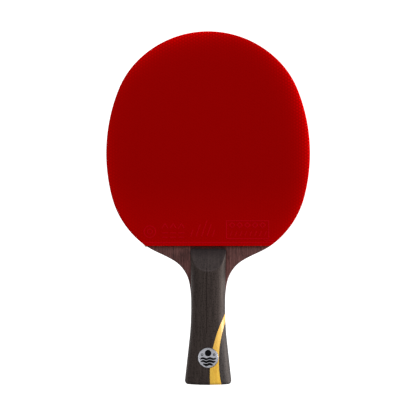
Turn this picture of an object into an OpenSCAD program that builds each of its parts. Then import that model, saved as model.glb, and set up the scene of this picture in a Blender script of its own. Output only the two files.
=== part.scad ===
// Table tennis paddle with a flared handle, lying flat with its red side up.
// X runs across the head, Y from the butt of the handle to the tip of the head, Z up
// through the thickness. The origin is in the middle of the length and width, at the
// level of the lowest point, which is the crown of the handle's back half.

/* [Overall] */
// Length from the butt of the handle to the tip of the head
total_l = 260; // [245:1:275]
// Width of the head at its widest
head_w = 150; // [135:1:165]

/* [Head outline] */
// Radius of the outline round the tip
tip_r = 73.4; // [66:0.1:80]
// How far the outline has turned from the tip where the tip arc ends, in degrees
tip_turn = 45.3; // [38:0.1:52]
// Radius of the outline above the flank
upper_r = 63.8; // [56:0.1:72]
// Turn of the outline where the flank begins, in degrees
upper_turn = 68; // [60:0.1:76]
// Radius of the outline along the flank
flank_r = 124.7; // [100:0.1:150]
// Turn of the outline where the flank ends, in degrees
flank_turn = 104.9; // [98:0.1:112]
// Radius of the outline below the flank
lower_r = 64; // [56:0.1:72]
// Turn of the outline at the lower corner of the rubber, in degrees
corner_turn = 144.9; // [138:0.1:152]

/* [Neck] */
// Radius of the hollow between shoulder and handle
neck_r = 25.3; // [20:0.1:30]
// Radius that eases the hollow into the side of the handle
ease_r = 75; // [55:0.5:95]
// Turn of the outline over the easing arc, in degrees
ease_turn = 10.6; // [7:0.1:14]
// Height above the butt at which the blade leaves the side of the handle
neck_y = 60.6; // [57:0.1:65]

/* [Blade plies] */
// Thickness of the core ply
core_t = 3.2; // [2:0.1:5]
// Thickness of each fibre layer
fibre_t = 0.3; // [0.2:0.05:0.5]
// Thickness of each inner ply
inner_ply_t = 0.6; // [0.4:0.05:1]
// Thickness of each face ply
face_ply_t = 0.5; // [0.4:0.05:1]

/* [Rubbers] */
// Thickness of the glue film under each rubber
glue_t = 0.15; // [0.05:0.05:0.3]
// Thickness of the sponge
sponge_t = 2.1; // [1.5:0.1:2.3]
// Thickness of the top sheet with its pips
topsheet_t = 1.7; // [1.4:0.1:2]
// Bare blade between the top of the handle and the straight edge of the rubber
rubber_gap = 2.0; // [1:0.1:6]

/* [Handle] */
// Length of the handle
handle_l = 100; // [92:1:108]
// Height of the crown of each handle half above the blade
scale_h = 8.5; // [7:0.1:10]
// Height of the upright side wall of each handle half
wall_h = 1.9; // [1.4:0.1:2.6]
// Width of the handle at its waist
waist_w = 25.1; // [22:0.1:27]
// Height of the waist above the butt
waist_y = 56; // [50:0.5:59]
// Width of the handle at its top end
collar_w = 26.5; // [25:0.1:28]
// Width of the butt before its corners are rounded
butt_w = 35; // [31:0.1:37]
// Radius of the flare below the waist
flare_r = 213; // [150:1:260]
// Radius of the corners of the butt
butt_corner_r = 2.8; // [1.5:0.1:4]
// Rise of the butt's curved end from its middle to its corners
butt_bow = 0.65; // [0.2:0.05:1]
// Radius of the edge between the crown and the butt
butt_edge_r = 2; // [1:0.1:3]
// How square the crown's curve is across the handle, where 2 is an ellipse
crown_power = 2.4; // [2:0.1:3]
// Length of the sloping facet at the top end
bevel_l = 16.6; // [10:0.1:25]
// Height left at the top end by the facet
bevel_h = 2; // [1.6:0.1:3]
// Radius of the corners of the top end
collar_corner_r = 1.5; // [0.5:0.1:3]

/* [Inlaid stripe] */
// Distance from the middle of the handle to the nearest point of the inner seam
inner_seam_x = 1.2; // [0.2:0.1:3]
// Height above the butt of that nearest point
inner_seam_y = 6; // [0:0.5:12]
// Radius of the inner seam
inner_seam_r = 100; // [85:1:120]
// Distance from the middle of the handle to the nearest point of the outer seam
outer_seam_x = 7.85; // [6:0.05:9.5]
// Height above the butt of that nearest point
outer_seam_y = 18; // [12:0.5:24]
// Radius of the outer seam
outer_seam_r = 84; // [70:1:100]

/* [Badge] */
// Diameter of the badge
badge_d = 15; // [10:0.5:18]
// Thickness of the badge
badge_t = 0.8; // [0.5:0.1:1.2]
// Height of the badge's middle above the butt
badge_y = 20.1; // [14:0.1:30]
// Depth of the badge's face below the crown
badge_sink = 0.35; // [0.1:0.05:0.8]
// Clearance round the badge in its recess
badge_gap = 0.1; // [0.05:0.05:0.3]
// Width of the badge's rounded rim
badge_rim = 0.25; // [0.1:0.05:0.4]
// Thickness of the adhesive pad under the badge
pad_t = 0.2; // [0.1:0.05:0.4]
// Bare margin round the adhesive pad
pad_margin = 0.5; // [0.2:0.1:2]

/* [Hidden] */

// Longest straight piece of a curved outline, and the steps of the handle's crown
outline_step = 3.5;
crown_step = 4;
crown_turn = 7.5;
// How far a cutting shape reaches past what it cuts
over = 1;
// How far the crown's curve reaches past the handle's side, which leaves it a wall
crown_over = 0.15;

// Levels of the layers, from the back of the handle up
blade_t = core_t + 2 * (fibre_t + inner_ply_t + face_ply_t);
middle_z = scale_h + blade_t / 2;
fibre_z = core_t / 2;
inner_z = fibre_z + fibre_t;
face_z = inner_z + inner_ply_t;
glue_z = face_z + face_ply_t;
sponge_z = glue_z + glue_t;
topsheet_z = sponge_z + sponge_t;

// Outline helpers. A side is a list of points on the right-hand side of the paddle.
function ray(a) = [cos(a), sin(a)];
function steps(r, turn) = max(2, ceil(r * abs(turn) * PI / 180 / outline_step));
function arc(c, r, a0, a1) =
  let (n = steps(r, a1 - a0))
  [for (i = [0 : n]) c + r * ray(a0 + (a1 - a0) * i / n)];
function reversed(side) = [for (i = [len(side) - 1 : -1 : 0]) side[i]];
function both_sides(side) =
  concat(side, [for (p = reversed(side)) if (p.x > 0.001) [-p.x, p.y]]);
// Direction from the middle c of a circle to where a line from p touches it
function touch(p, c, r, way) =
  let (d = p - c)
  atan2(d.y, d.x) + way * acos(r / norm(d));

// Head: four arcs, each tangent to the next, brought to the head's length and width
head_l = total_l - handle_l - rubber_gap;
head_r = [tip_r, upper_r, flank_r, lower_r];
head_turn = [0, tip_turn, upper_turn, flank_turn, corner_turn];
function head_c(i) =
  i == 0 ? [0, -tip_r] : head_c(i - 1) + (head_r[i - 1] - head_r[i]) * ray(90 - head_turn[i]);
head_arcs = [
  for (i = [0 : 3])
    for (j = [i == 0 ? 0 : 1 : steps(head_r[i], head_turn[i + 1] - head_turn[i])])
      let (n = steps(head_r[i], head_turn[i + 1] - head_turn[i]))
      head_c(i) + head_r[i] * ray(90 - head_turn[i] - (head_turn[i + 1] - head_turn[i]) * j / n)
];
arcs_w = 2 * (head_c(2).x + flank_r);
arcs_l = -head_c(3).y - lower_r * cos(corner_turn);
head_side = [for (p = head_arcs) [p.x * head_w / arcs_w, total_l + p.y * head_l / arcs_l]];
rubber_corner = head_side[len(head_side) - 1];

// Handle: a straight taper up from the butt, the flare, and a shallow curve to the collar
flare_c = [waist_w / 2 + flare_r, waist_y];
taper_a = touch([butt_w / 2, 0], flare_c, flare_r, -1) + 180;
taper = tan(taper_a);
flare_y = waist_y - flare_r * sin(taper_a);
function half_w(y) =
  y < flare_y ? butt_w / 2 - y * taper :
  y < waist_y ? flare_c.x - sqrt(flare_r ^ 2 - (waist_y - y) ^ 2) :
  (waist_w + (collar_w - waist_w) * ((y - waist_y) / (handle_l - waist_y)) ^ 2) / 2;

// Butt: a bowed end with a rounded corner that runs into the taper
function bow(x) = butt_bow * (x / (butt_w / 2)) ^ 2;
corner_reach = butt_corner_r / cos(taper_a);
corner_y = butt_corner_r + bow(butt_w / 2 - butt_corner_r * taper - corner_reach);
corner_c = [butt_w / 2 - corner_y * taper - corner_reach, corner_y];
bow_a = atan(2 * butt_bow * corner_c.x / (butt_w / 2) ^ 2);
bow_steps = 4;
butt_side = concat(
  [for (i = [0 : bow_steps - 1]) let (x = corner_c.x * i / bow_steps) [x, bow(x)]],
  [for (i = [0 : 6]) corner_c + butt_corner_r * ray(bow_a - 90 + (taper_a + 90 - bow_a) * i / 6)]
);
function handle_side(top) =
  let (low = corner_c.y + 2, n = ceil((top - low) / crown_step))
  concat(butt_side, [for (i = [0 : n]) let (y = low + (top - low) * i / n) [half_w(y), y]]);

// Neck: the side of the handle swells through two hollows into the straight shoulder
ease_c = [half_w(neck_y) + ease_r, neck_y];
neck_c = ease_c + (ease_r - neck_r) * ray(180 - ease_turn);
shoulder_a = touch(rubber_corner, neck_c, neck_r, 1);
neck_side = concat(
  arc(ease_c, ease_r, 180 - ease_turn / 4, 180 - ease_turn),
  arc(neck_c, neck_r, 180 - ease_turn * 1.3, shoulder_a)
);

blade_side = concat(handle_side(neck_y), neck_side, reversed(head_side));
collar_c = [half_w(handle_l) - collar_corner_r, handle_l - collar_corner_r];
scale_side = concat(
  handle_side(collar_c.y),
  [for (a = [30 : 30 : 90]) collar_c + collar_corner_r * ray(a)]
);

// Crown of one handle half: bulging rings along the handle, lower at the butt's edge
function edge_drop(y) = y >= butt_edge_r ? 0 :
  butt_edge_r - sqrt(butt_edge_r ^ 2 - (butt_edge_r - max(y, 0)) ^ 2);
function bulge(s) = sign(s) * abs(s) ^ (2 / crown_power);
wall_share = (1 - (waist_w / (waist_w + 2 * crown_over)) ^ crown_power) ^ (1 / crown_power);
crown_base = wall_h - (scale_h - wall_h) * wall_share;
crown_ys = concat(
  [-over, 0, butt_edge_r * 0.12, butt_edge_r * 0.35, butt_edge_r * 0.65],
  [for (y = [butt_edge_r : crown_step : handle_l]) y],
  [handle_l + over]
);
function crown_ring(y) =
  let (w = half_w(max(y, 0)) + crown_over, h = scale_h - crown_base - edge_drop(y))
  concat(
    [[w + over, y, -over], [w + over, y, crown_base]],
    [for (a = [0 : crown_turn : 180]) [w * bulge(cos(a)), y, crown_base + h * bulge(sin(a))]],
    [[-w - over, y, crown_base], [-w - over, y, -over]]
  );

module crown() {
  rings = [for (y = crown_ys) crown_ring(y)];
  n = len(rings[0]);
  last = len(rings) - 1;
  walls = [
    for (i = [0 : last - 1])
      for (j = [0 : n - 1])
        let (a = i * n + j, b = i * n + (j + 1) % n)
        for (face = [[a, b, a + n], [b, b + n, a + n]]) face
  ];
  ends = [[for (j = [n - 1 : -1 : 0]) j], [for (j = [0 : n - 1]) last * n + j]];
  polyhedron([for (ring = rings) each ring], concat(walls, ends));
}

// All that lies under the sloping facet of the top end
module under_bevel() {
  slope = (scale_h - bevel_h) / bevel_l;
  top_y = handle_l + over;
  rotate([90, 0, 90])
    linear_extrude(2 * butt_w, center = true)
      polygon([
        [-over, -over],
        [top_y, -over],
        [top_y, bevel_h - over * slope],
        [handle_l - bevel_l - over, scale_h + over * slope],
        [-over, scale_h + over * slope],
      ]);
}

// The two seams stand upright through the whole handle half
module right_of_inner_seam() {
  translate([inner_seam_x + inner_seam_r, inner_seam_y, -over])
    cylinder(h = scale_h + 2 * over, r = inner_seam_r, $fn = 180);
}

module right_of_outer_seam() {
  translate([outer_seam_x + outer_seam_r, outer_seam_y, -over])
    cylinder(h = scale_h + 2 * over, r = outer_seam_r, $fn = 180);
}

badge_face = scale_h - badge_sink;
pad_z = badge_face - badge_t - pad_t;

module badge_recess() {
  translate([0, badge_y, pad_z])
    cylinder(h = scale_h, d = badge_d + 2 * badge_gap, $fn = 96);
}

// One whole handle half, standing on the plane of the blade, before it is divided
module handle_half() {
  intersection() {
    linear_extrude(scale_h + over) polygon(both_sides(scale_side));
    crown();
    under_bevel();
  }
}

module half_body() {
  difference() {
    handle_half();
    right_of_inner_seam();
  }
}

module half_stripe() {
  difference() {
    intersection() {
      handle_half();
      right_of_inner_seam();
    }
    right_of_outer_seam();
  }
}

module half_flank() {
  intersection() {
    handle_half();
    right_of_inner_seam();
    right_of_outer_seam();
  }
}

module with_recess() {
  difference() {
    children();
    badge_recess();
  }
}

// Places: on the front of the blade, and turned over about the handle onto its back
module on_front(z) {
  translate([0, -total_l / 2, middle_z + z]) children();
}

module on_back(z) {
  translate([0, -total_l / 2, middle_z - z]) rotate([0, 180, 0]) children();
}

module ply(t) {
  linear_extrude(t) polygon(both_sides(blade_side));
}

module sheet(t) {
  linear_extrude(t) polygon(both_sides(head_side));
}

// Blade
module core_ply() {
  color("burlywood") on_front(-core_t / 2) ply(core_t);
}

module fibre_layer_front() {
  color("darkolivegreen") on_front(fibre_z) ply(fibre_t);
}

module fibre_layer_back() {
  color("darkolivegreen") on_back(fibre_z) ply(fibre_t);
}

module inner_ply_front() {
  color("tan") on_front(inner_z) ply(inner_ply_t);
}

module inner_ply_back() {
  color("tan") on_back(inner_z) ply(inner_ply_t);
}

module face_ply_front() {
  color([0.33, 0.24, 0.235]) on_front(face_z) ply(face_ply_t);
}

module face_ply_back() {
  color([0.33, 0.24, 0.235]) on_back(face_z) ply(face_ply_t);
}

// Rubbers
module glue_film_front() {
  color("whitesmoke") on_front(glue_z) sheet(glue_t);
}

module glue_film_back() {
  color("whitesmoke") on_back(glue_z) sheet(glue_t);
}

module sponge_front() {
  color("darkorange") on_front(sponge_z) sheet(sponge_t);
}

module sponge_back() {
  color("darkorange") on_back(sponge_z) sheet(sponge_t);
}

module topsheet_front() {
  color([0.55, 0, 0]) on_front(topsheet_z) sheet(topsheet_t);
}

module topsheet_back() {
  color([0.06, 0.06, 0.06]) on_back(topsheet_z) sheet(topsheet_t);
}

// Handle
module handle_body_front() {
  color([0.22, 0.19, 0.18]) on_front(glue_z) with_recess() half_body();
}

module handle_body_back() {
  color([0.22, 0.19, 0.18]) on_back(glue_z) half_body();
}

module handle_stripe_front() {
  color([0.88, 0.7, 0.3]) on_front(glue_z) with_recess() half_stripe();
}

module handle_stripe_back() {
  color([0.88, 0.7, 0.3]) on_back(glue_z) half_stripe();
}

module handle_flank_front() {
  color([0.25, 0.22, 0.21]) on_front(glue_z) with_recess() half_flank();
}

module handle_flank_back() {
  color([0.25, 0.22, 0.21]) on_back(glue_z) half_flank();
}

// Badge
module badge_disc() {
  color([0.65, 0.65, 0.7])
    on_front(glue_z)
      translate([0, badge_y, pad_z + pad_t])
        rotate_extrude($fn = 96)
          polygon([
            [0, 0],
            [badge_d / 2, 0],
            [badge_d / 2, badge_t - badge_rim],
            [badge_d / 2 - badge_rim, badge_t],
            [0, badge_t],
          ]);
}

module badge_pad() {
  color("gainsboro")
    on_front(glue_z)
      translate([0, badge_y, pad_z])
        cylinder(h = pad_t, d = badge_d - 2 * pad_margin, $fn = 96);
}

core_ply();
fibre_layer_front();
fibre_layer_back();
inner_ply_front();
inner_ply_back();
face_ply_front();
face_ply_back();
glue_film_front();
glue_film_back();
sponge_front();
sponge_back();
topsheet_front();
topsheet_back();
handle_body_front();
handle_body_back();
handle_stripe_front();
handle_stripe_back();
handle_flank_front();
handle_flank_back();
badge_disc();
badge_pad();
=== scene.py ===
import math

import bmesh
import bpy
import numpy as np
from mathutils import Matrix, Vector


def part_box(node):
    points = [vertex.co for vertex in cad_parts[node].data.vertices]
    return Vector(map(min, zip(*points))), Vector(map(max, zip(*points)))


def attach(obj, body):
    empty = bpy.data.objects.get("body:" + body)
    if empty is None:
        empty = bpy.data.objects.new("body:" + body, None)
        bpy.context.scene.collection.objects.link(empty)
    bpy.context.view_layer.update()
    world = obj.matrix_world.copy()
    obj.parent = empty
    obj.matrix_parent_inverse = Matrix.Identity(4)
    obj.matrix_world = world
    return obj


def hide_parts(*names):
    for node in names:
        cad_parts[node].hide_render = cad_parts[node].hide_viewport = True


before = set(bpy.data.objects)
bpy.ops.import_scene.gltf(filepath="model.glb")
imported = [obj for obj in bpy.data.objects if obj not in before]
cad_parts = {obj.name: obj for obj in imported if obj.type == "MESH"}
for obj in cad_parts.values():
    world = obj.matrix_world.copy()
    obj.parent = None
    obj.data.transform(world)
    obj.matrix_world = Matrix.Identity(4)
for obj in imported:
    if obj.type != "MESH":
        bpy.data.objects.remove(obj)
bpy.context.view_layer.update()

# The paddle lies flat with its red side up: X across the head, Y from the butt to the
# tip, Z up. Shapes are worked out in millimetres and handed to Blender in metres. Each
# piece that both sides have is built for the front and turned over for the back.
MM = 0.001


def node_box(name):
    """Lowest and highest corner of a solid of the frame, in millimetres."""
    low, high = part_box(name)
    return np.array(low) / MM, np.array(high) / MM


def heights_of(name):
    """Lowest and highest Z of a solid of the frame, in millimetres."""
    low, high = node_box(name)
    return low[2], high[2]


MIDDLE_Z = sum(heights_of("core_ply")) / 2
HANDLE_Z = heights_of("handle_body_front")[0]
BUTT_Y = node_box("core_ply")[0][1]
HEAD_MIDDLE = sum(node_box("sponge_front"))[:2] / 2
BADGE_MIDDLE = sum(node_box("badge_disc"))[:2] / 2


# --------------------------------------------- sizes, in millimetres

# How far apart the points of a curved outline lie, how near two places count as one, and
# the steps in which a rounded edge turns
OUTLINE_STEP = 1.0
SAME_PLACE = 0.01
QUARTER_TURN = (0, 30, 60, 90)

# The black rubber was trimmed by hand and overhangs the blade a little at one corner: how
# far, how quickly that fades along the rim, and which way it goes
OVERHANG = 1.1
OVERHANG_REACH = 2.5
OVERHANG_WAY = (0.45, -0.9)

# Rubber: how it sags towards its rim and rolls over at its cut edge
RIM_SAG, RIM_SAG_REACH = 0.3, 4.5
RIM_ROLL, RIM_ROLL_REACH = 0.3, 0.9
ROLL_FROM_CUT = 8.0
# How far in from the rim the rings of points on the skin lie, and under it
SKIN_RINGS = (26, 18, 12.5, 9, 6.6, 4.8, 3.4, 2.4, 1.7, 1.1, 0.7, 0.42)
UNDER_RINGS = (1.2, 3)
SKIN_T = 0.7
SKIN_EDGE_R = 0.2
# Pips stand in rows of triangles, in a band along the rim, and widen at the foot where
# they grow out of the skin. One whose middle is outside the rim by at most a share of its
# radius is cut off with the rim, and the cut is drawn back a little
PIP_PITCH = 2.36
PIP_ROW = PIP_PITCH * math.sqrt(0.75)
PIP_R, PIP_FOOT_R, PIP_FOOT_H = 0.8, 1.0, 0.25
PIP_SIDES = 8
PIP_BAND = 4.8
PIP_OUT, PIP_CUT_BACK = 0.7, 0.02
# How hollow the sponge's sliced side is: depths at shares of its thickness
SPONGE_HOLLOW = ((0.15, 0.04), (0.4, 0.1), (0.7, 0.08), (0.92, 0.02))
SPONGE_RINGS = (1.2, 3, 6)
# How pale a painted highlight makes the rim all round, and how much paler where that
# painted highlight is strongest: directions from the head's middle in degrees, shares,
# and half widths in degrees. Most of it is a narrow band, and a share of it reaches
# further in
RIM_SHEEN_ALL, RIM_SHEEN_REACH = 0.08, 3.4
RIM_SHEEN_SPOTS = ((11, 0.65, 46), (100, 0.52, 22), (131, 0.22, 16), (205, 0.15, 36))
RIM_SHEEN_DEEP, RIM_SHEEN_DEEP_REACH = 0.1, 26.0
# How much paler the whole skin is painted towards the handle, as painted light, and along
# # its lip, as a painted highlight, and the heights above the butt between which each fades
# out
PAINTED_LIGHT_NEAR_CUT = ((0.058, 118.0, 152.0), (0.07, 102.0, 106.5))
# Painted shade: the gap between rubber and handle, how far it spreads over the blade, how
# # far over the handle's top end, and a painted red reflection of the rubber along the cut,
# # where it lies and how far it spreads
PAINTED_SHADE_HALF_W = 12.5
PAINTED_SHADE_GAP, PAINTED_SHADE_ON_BLADE = 1.1, 1.2
PAINTED_SHADE_END, PAINTED_SHADE_ON_HANDLE = 2.0, 6.0
RED_REFLECTION_AT, RED_REFLECTION_REACH = 102.0, 2.6
# A fine line where the handle's own two halves are glued: its middle, how far it reaches
# to the sides and along, and how far it fades out
GLUE_LINE = (-1.2, 62.0, 0.1, 24.0, 0.4)
# Painted shade on the right-hand edge below the top end, in the same terms
FLANK_SHADE = (12.8, 84.0, 0.8, 4.0, 4.5)
# Painted light: a paler band of the veneer beside the handle, where the handle's shadow
# # falls: by what factor, then in the same terms
PAINTED_LIGHT_BAND = (1.42, -17.4, 91.0, 1.6, 7.0, 5.5)
# The stripe's colours are paled by a painted highlight. Near the butt a patch takes it back
# # to a deeper yellow, and at the upper end painted shade dulls it, in the same terms
BUTT_WITHOUT_HIGHLIGHT = (0.0, 0.0, 17.5, 16.0, 16.0)
STRIPE_END_SHADE = (0.0, 52.0, 17.5, 8.0, 8.0)
# The facet is cut through the dyed skin of the wood. The wood is painted paler there by a
# # factor, as painted light, takes a share of a greyer tone, and has a painted highlight in
# a
# # fine line along the facet's edge
FACET_PAINTED_LIGHT, FRESH_CUT_SHARE, FRESH_CUT_SOFT = 1.12, 0.35, 0.12
FRESH_WOOD = "2f2c2f"
ARRIS_HIGHLIGHT, ARRIS_IN, ARRIS_HALF_W = 3.0, 0.22, 0.2

# Marks pressed up out of the rubber near its straight edge: the ridge's width at its foot
# and at its top, its height, how deep it starts in the skin, and its points' spacing
MARK_W, MARK_TOP_W = 0.7, 0.21
MARK_H, MARK_SUNK, MARK_STEP = 0.06, 0.1, 1.5
# Where the marks are: across the paddle, and up from the straight edge. A row is its
# first place, its end and its step, and the figure in it is drawn from each place. The
# long rule stops a little short, and a line of the fan has its place and where it ends
RULE_UP, RULE_SHORT = 2.5, 0.4
SHORT_RULE = ((41.2, 3.9), (49.0, 3.9))
MARK_BORDER = ((13.4, 5.4), (44.4, 5.4), (44.4, 18.5), (13.4, 18.5))
LOZENGE_ROW, LOZENGE = (17.5, 42, 5.6), ((0, 13.4), (2, 15.4), (0, 17.2), (-2, 15.4))
BAR_ROW, BAR = (16, 42, 3.6), ((0, 7.4), (1.6, 11))
RINGS_AT, RING_SIZES = (-43, 10.5), ((4.2, 28), (1.8, 16))
ROOFS_AT = (-34, -28, -22)
ROOF = (((0, 13), (2.2, 16.4), (4.4, 13)), ((0, 9.6), (4.4, 9.6)), ((0, 6.4), (4.4, 6.4)))
FAN, FAN_UP, FAN_SLANT = ((-13, 12), (-9, 16), (-5, 19), (-1, 16), (3, 12)), 7, 0.35

# Blade: how round the wings beside the handle are sanded, how far above the butt they
# start, and how far the sanding takes to start and to end at the rubber
WING_R = 0.42
WINGS_FROM, WING_START, WING_END = 62.0, 6.0, 2.0
WING_TURNS = (0, 22.5, 45, 67.5, 90)
BLADE_HALF_W = 75.0

# Handle, as in the part's source
SCALE_H = 8.5
WALL_H = 1.9
HANDLE_L = 100.0
WAIST_W, WAIST_Y = 25.1, 56.0
COLLAR_W = 26.5
BUTT_W, BUTT_BOW = 35.0, 0.65
BUTT_CORNER_R, BUTT_EDGE_R = 2.8, 2.0
COLLAR_CORNER_R, COLLAR_EDGE_R = 1.5, 0.2
FLARE_R = 213.0
BEVEL_L, BEVEL_H, BEVEL_SOFT = 16.6, 2.0, 0.12
FACET_FROM = HANDLE_L - BEVEL_L - 1.0
CROWN_OVER, CROWN_POWER = 0.15, 2.4
# Each seam is an arc: how near the middle it comes, the height of that, and its radius
INNER_SEAM = (1.2, 6.0, 100.0)
OUTER_SEAM = (7.85, 18.0, 84.0)
SEAM_GAP, SEAM_DEPTH = 0.12, 0.12
# Heights between which both seams run out through the side
SEAMS_END = (30.0, 60.0)
# How many rows of points cross the handle round its butt's corner, along its plain length
# and over the facet, how far the butt's bow fades out, and the turns of the top's corner
CORNER_ROWS, PLAIN_ROWS, FACET_ROWS = 15, 62, 42
BOW_FADE = 12.0
TOP_TURNS = (12, 24, 36, 48, 60, 70, 80, 86, 90)

# Badge: the recess it is glued in, its own edges, and the groove turned in it, between
# two distances in from its rim
RECESS_R, RECESS_FLOOR, RECESS_OVER = 7.6, 7.15, 2.0
BADGE_CHAMFER, BADGE_EDGE_R, BADGE_SHOULDER = 0.1, 0.3, 0.6
GROOVE_FROM, GROOVE_TO, GROOVE_DEPTH = 0.6, 0.9, 0.08
ROUND_SIDES = 96
# Its inlay: how far in from the rim it stays, how deep it starts, the height of its sides
# and of its top, and how much smaller its top is
INLAY_IN = 1.15
INLAY_SUNK, INLAY_SIDE_H, INLAY_H, INLAY_TOP = 0.03, 0.01, 0.03, 0.985
# The heights and thicknesses of the three waves, how far they swing, how fast along their
# length, and how far they stop short, then the sun and the two small rings
WAVES = ((-5.8, 1.8), (-3.6, 1.8), (-1.4, 1.6))
WAVE_SWING, WAVE_TURN, WAVE_SHORT, WAVE_POINTS = 0.35, 1.2, 0.2, 41
SUN_AT, SUN_R = (0, 3.5), 2.4
SMALL_RINGS_AT, SMALL_RING_R, SMALL_RING_W = ((-4.4, 2.3), (4.4, 2.3)), 0.9, 0.45
INLAY_SIDES = 48


# ------------------------------------------------------ the outlines

def side_points(name):
    """Right-hand half of a layer's outline, from its lowest point along Y to its tip."""
    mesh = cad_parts[name].data
    points = np.array([v.co for v in mesh.vertices]) / MM
    level = points[points[:, 2] < points[:, 2].min() + SAME_PLACE]
    found = {(round(x, 3), round(y, 3)) for x, y in level[:, :2] if x > -SAME_PLACE / 10}
    return np.array(sorted(found, key=lambda p: (p[1], p[0])))


def curve_through(points, spacing, closed=False):
    """Points about spacing apart on a smooth curve through the given ones."""
    p = np.asarray(points, float)
    if closed:
        p = np.vstack([p[-1], p, p[0], p[1]])
    else:
        p = np.vstack([2 * p[0] - p[1], p, 2 * p[-1] - p[-2]])
    gap = np.linalg.norm(np.diff(p, axis=0), axis=1)[:, None]
    slope = np.diff(p, axis=0) / gap
    tangent = (slope[:-1] * gap[1:] + slope[1:] * gap[:-1]) / (gap[:-1] + gap[1:])
    curve = []
    for i in range(len(tangent) - 1):
        a, b, h = p[i + 1], p[i + 2], gap[i + 1, 0]
        count = max(1, round(h / spacing))
        for t in np.arange(count) / count:
            curve.append(
                (2 * t**3 - 3 * t**2 + 1) * a
                + (t**3 - 2 * t**2 + t) * h * tangent[i]
                + (3 * t**2 - 2 * t**3) * b
                + (t**3 - t**2) * h * tangent[i + 1]
            )
    if not closed:
        curve.append(p[-2])
    return np.array(curve)


def ring(middle, r, count):
    """Points round a circle, anticlockwise."""
    turn = np.arange(count) * 2 * math.pi / count
    return np.column_stack([np.cos(turn), np.sin(turn)]) * r + middle


def mirrored(points):
    """The same points on the other side of the paddle, in the opposite order."""
    return points[::-1] * [-1, 1]


def blade_loop():
    """Whole outline of the blade, anticlockwise from the middle of the butt."""
    right = side_points("face_ply_front")
    whole = np.vstack([right, mirrored(right[1:-1])])
    return curve_through(whole, OUTLINE_STEP, closed=True)


def rubber_loop(overhang=0.0):
    """Outline of a rubber, anticlockwise from its lower right corner, which overhangs
    the blade by so much where the knife left it."""
    right = side_points("sponge_front")
    corner = right[0].copy()
    rim = curve_through(np.vstack([right, mirrored(right[:-1])]), OUTLINE_STEP)
    count = round((rim[0] - rim[-1])[0] / OUTLINE_STEP)
    cut = rim[-1] + (rim[0] - rim[-1]) * (np.arange(1, count) / count)[:, None]
    loop = np.vstack([rim, cut])
    near = np.exp(-np.linalg.norm(loop - corner, axis=1) / OVERHANG_REACH)[:, None]
    return loop + near * overhang * np.array(OVERHANG_WAY)


def inset(loop, depth):
    """The head's outline drawn in by about that depth all round."""
    reach = np.linalg.norm(loop - HEAD_MIDDLE, axis=1).mean()
    return HEAD_MIDDLE + (loop - HEAD_MIDDLE) * (1 - depth / reach)


def distance_to(loop, points, batch=2000):
    """How far each point is from a closed outline, worked out a batch at a time."""
    step = np.roll(loop, -1, axis=0) - loop
    found = np.empty(len(points))
    for first in range(0, len(points), batch):
        p = points[first : first + batch, None]
        along = ((p - loop) * step).sum(-1) / (step**2).sum(-1)
        nearest = loop + np.clip(along, 0, 1)[..., None] * step
        found[first : first + batch] = np.linalg.norm(p - nearest, axis=-1).min(1)
    return found


def reach_of(loop, points):
    """How far the head's outline is from its middle, in the direction of each point."""
    turn = np.arctan2(*(loop - HEAD_MIDDLE).T[::-1])
    order = np.argsort(turn)
    distance = np.linalg.norm(loop - HEAD_MIDDLE, axis=1)[order]
    to_points = np.arctan2(*(points - HEAD_MIDDLE).T[::-1])
    return np.interp(to_points, turn[order], distance, period=2 * math.pi)


# ----------------------------------------------------- making pieces

# The bend from which an edge stays sharp, and how near two points are joined
SHARP = math.radians(32)
JOIN = 0.0005


class Shell:
    """Points in millimetres and the faces between them, gathered into one piece."""

    def __init__(self):
        self.points, self.faces, self.slots = [], [], []

    def add(self, points, faces, slot=0):
        first = len(self.points)
        self.points += [tuple(p) for p in points]
        self.faces += [tuple(first + i for i in face) for face in faces]
        self.slots += [slot] * len(faces)

    def grid(self, rows, wrap=False, slot=0):
        """Quads between rows of points. With wrap, each row closes on itself."""
        count = len(rows[0])
        faces = []
        for i in range(len(rows) - 1):
            for j in range(count if wrap else count - 1):
                a, b = i * count + j, i * count + (j + 1) % count
                faces.append((a, b, b + count, a + count))
        self.add(np.concatenate(rows), faces, slot)

    def stack(self, loops, slot=0):
        """A closed body through closed loops, with a flat face on its first and last."""
        self.grid(loops, wrap=True, slot=slot)
        count = len(loops[0])
        self.add(loops[0], [range(count)], slot)
        self.add(loops[-1], [range(count)], slot)

    def turned_over(self):
        """The same piece on the back of the paddle."""
        other = Shell()
        points = np.array(self.points) * [-1, 1, -1] + [0, 0, 2 * MIDDLE_Z]
        other.points = [tuple(p) for p in points]
        other.faces, other.slots = self.faces, self.slots
        return other


def lift(points, z):
    """Plan points at a height, or at one height each."""
    return np.column_stack([points, np.broadcast_to(z, len(points))])


def close_up(mesh):
    """Joins the points that meet, turns the faces outward and shades all but its sharp
    edges smooth."""
    work = bmesh.new()
    work.from_mesh(mesh)
    bmesh.ops.remove_doubles(work, verts=work.verts, dist=JOIN * MM)
    bmesh.ops.dissolve_degenerate(work, edges=work.edges, dist=JOIN * MM)
    bmesh.ops.recalc_face_normals(work, faces=work.faces)
    for face in work.faces:
        face.smooth = True
    for edge in work.edges:
        edge.smooth = len(edge.link_faces) == 2 and edge.calc_face_angle(0) < SHARP
    work.to_mesh(mesh)
    work.free()


def mesh_of(name, shell):
    """An object in the scene, made from a shell."""
    mesh = bpy.data.meshes.new(name)
    mesh.from_pydata(np.array(shell.points) * MM, [], shell.faces)
    mesh.polygons.foreach_set("material_index", shell.slots)
    close_up(mesh)
    made = bpy.data.objects.new(name, mesh)
    bpy.context.scene.collection.objects.link(made)
    return made


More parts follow.
